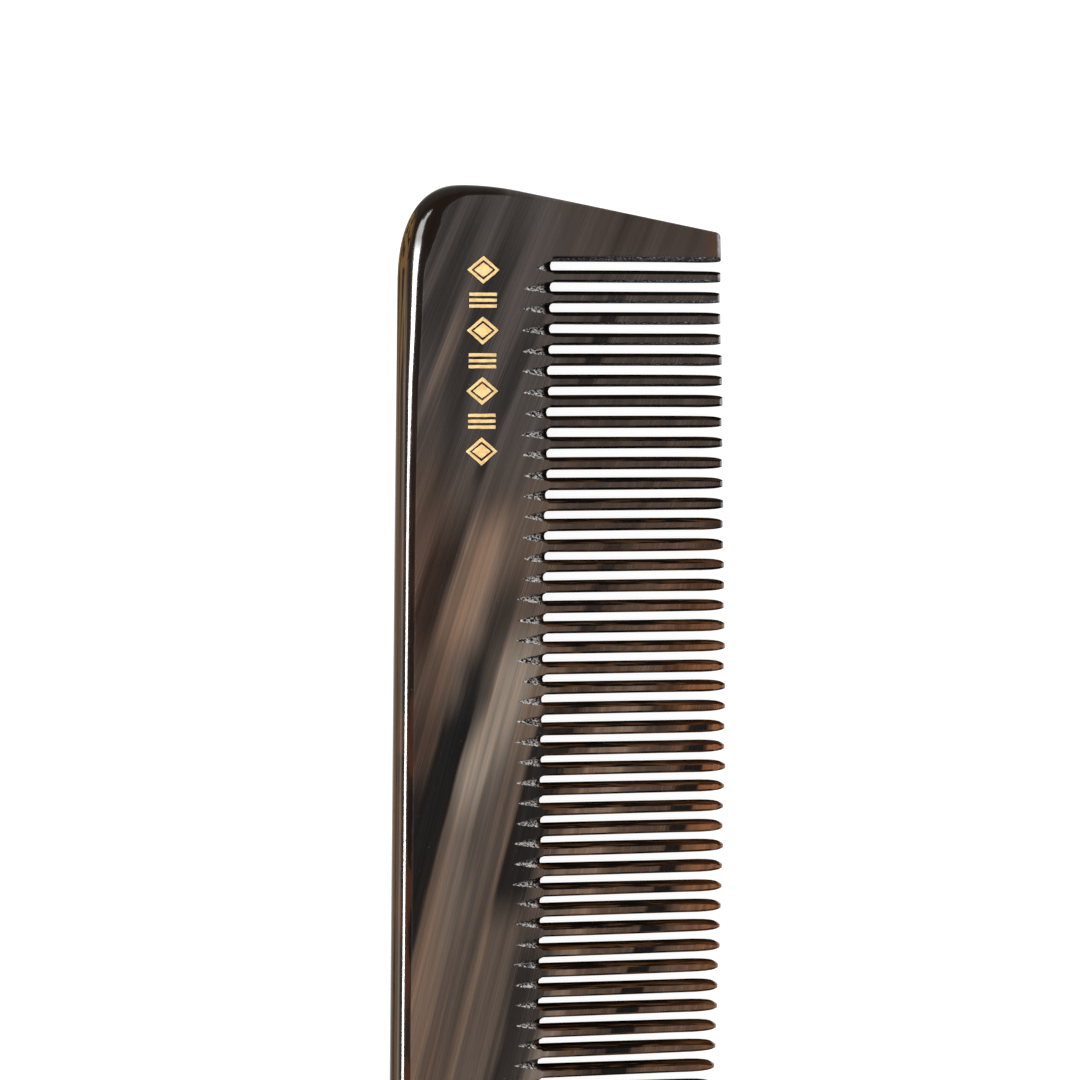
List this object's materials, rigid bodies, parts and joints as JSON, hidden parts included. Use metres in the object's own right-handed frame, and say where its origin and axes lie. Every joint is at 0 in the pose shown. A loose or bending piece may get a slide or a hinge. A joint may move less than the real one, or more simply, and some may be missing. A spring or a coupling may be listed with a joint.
{
  "type": "hair comb",
  "caption": "Flat pocket comb with a rounded spine, sloping ends, close straight teeth between two wide end guards, and a line of gold ornaments.",
  "frame": {"origin": "middle of the footprint, on the plane of the back face", "axes": "+Y along the comb's length towards the ornamented end, +X towards the tooth tips, +Z out of the front face"},
  "size_m": [0.0366, 0.127, 0.0036],
  "materials": {
    "horn": "polished dark horn with brown and grey grain",
    "gold_foil": "hot-stamped gold foil, satin"
  },
  "bodies": {
    "root": {"spine": "horn", "upper_end_guard": "horn", "lower_end_guard": "horn", "tooth_01": "horn", "tooth_02": "horn", "tooth_03": "horn", "tooth_04": "horn", "tooth_05": "horn", "tooth_06": "horn", "tooth_07": "horn", "tooth_08": "horn", "tooth_09": "horn", "tooth_10": "horn", "tooth_11": "horn", "tooth_12": "horn", "tooth_13": "horn", "tooth_14": "horn", "tooth_15": "horn", "tooth_16": "horn", "tooth_17": "horn", "tooth_18": "horn", "tooth_19": "horn", "tooth_20": "horn", "tooth_21": "horn", "tooth_22": "horn", "tooth_23": "horn", "tooth_24": "horn", "tooth_25": "horn", "tooth_26": "horn", "tooth_27": "horn", "tooth_28": "horn", "tooth_29": "horn", "tooth_30": "horn", "tooth_31": "horn", "tooth_32": "horn", "tooth_33": "horn", "tooth_34": "horn", "tooth_35": "horn", "tooth_36": "horn", "tooth_37": "horn", "tooth_38": "horn", "tooth_39": "horn", "tooth_40": "horn", "tooth_41": "horn", "tooth_42": "horn", "tooth_43": "horn", "tooth_44": "horn", "tooth_45": "horn", "tooth_46": "horn", "tooth_47": "horn", "tooth_48": "horn", "tooth_49": "horn", "tooth_50": "horn", "gold_mark_1": "gold_foil", "gold_mark_2": "gold_foil", "gold_mark_3": "gold_foil", "gold_mark_4": "gold_foil", "gold_mark_5": "gold_foil", "gold_mark_6": "gold_foil", "gold_mark_7": "gold_foil"}
  },
  "joints": []
}
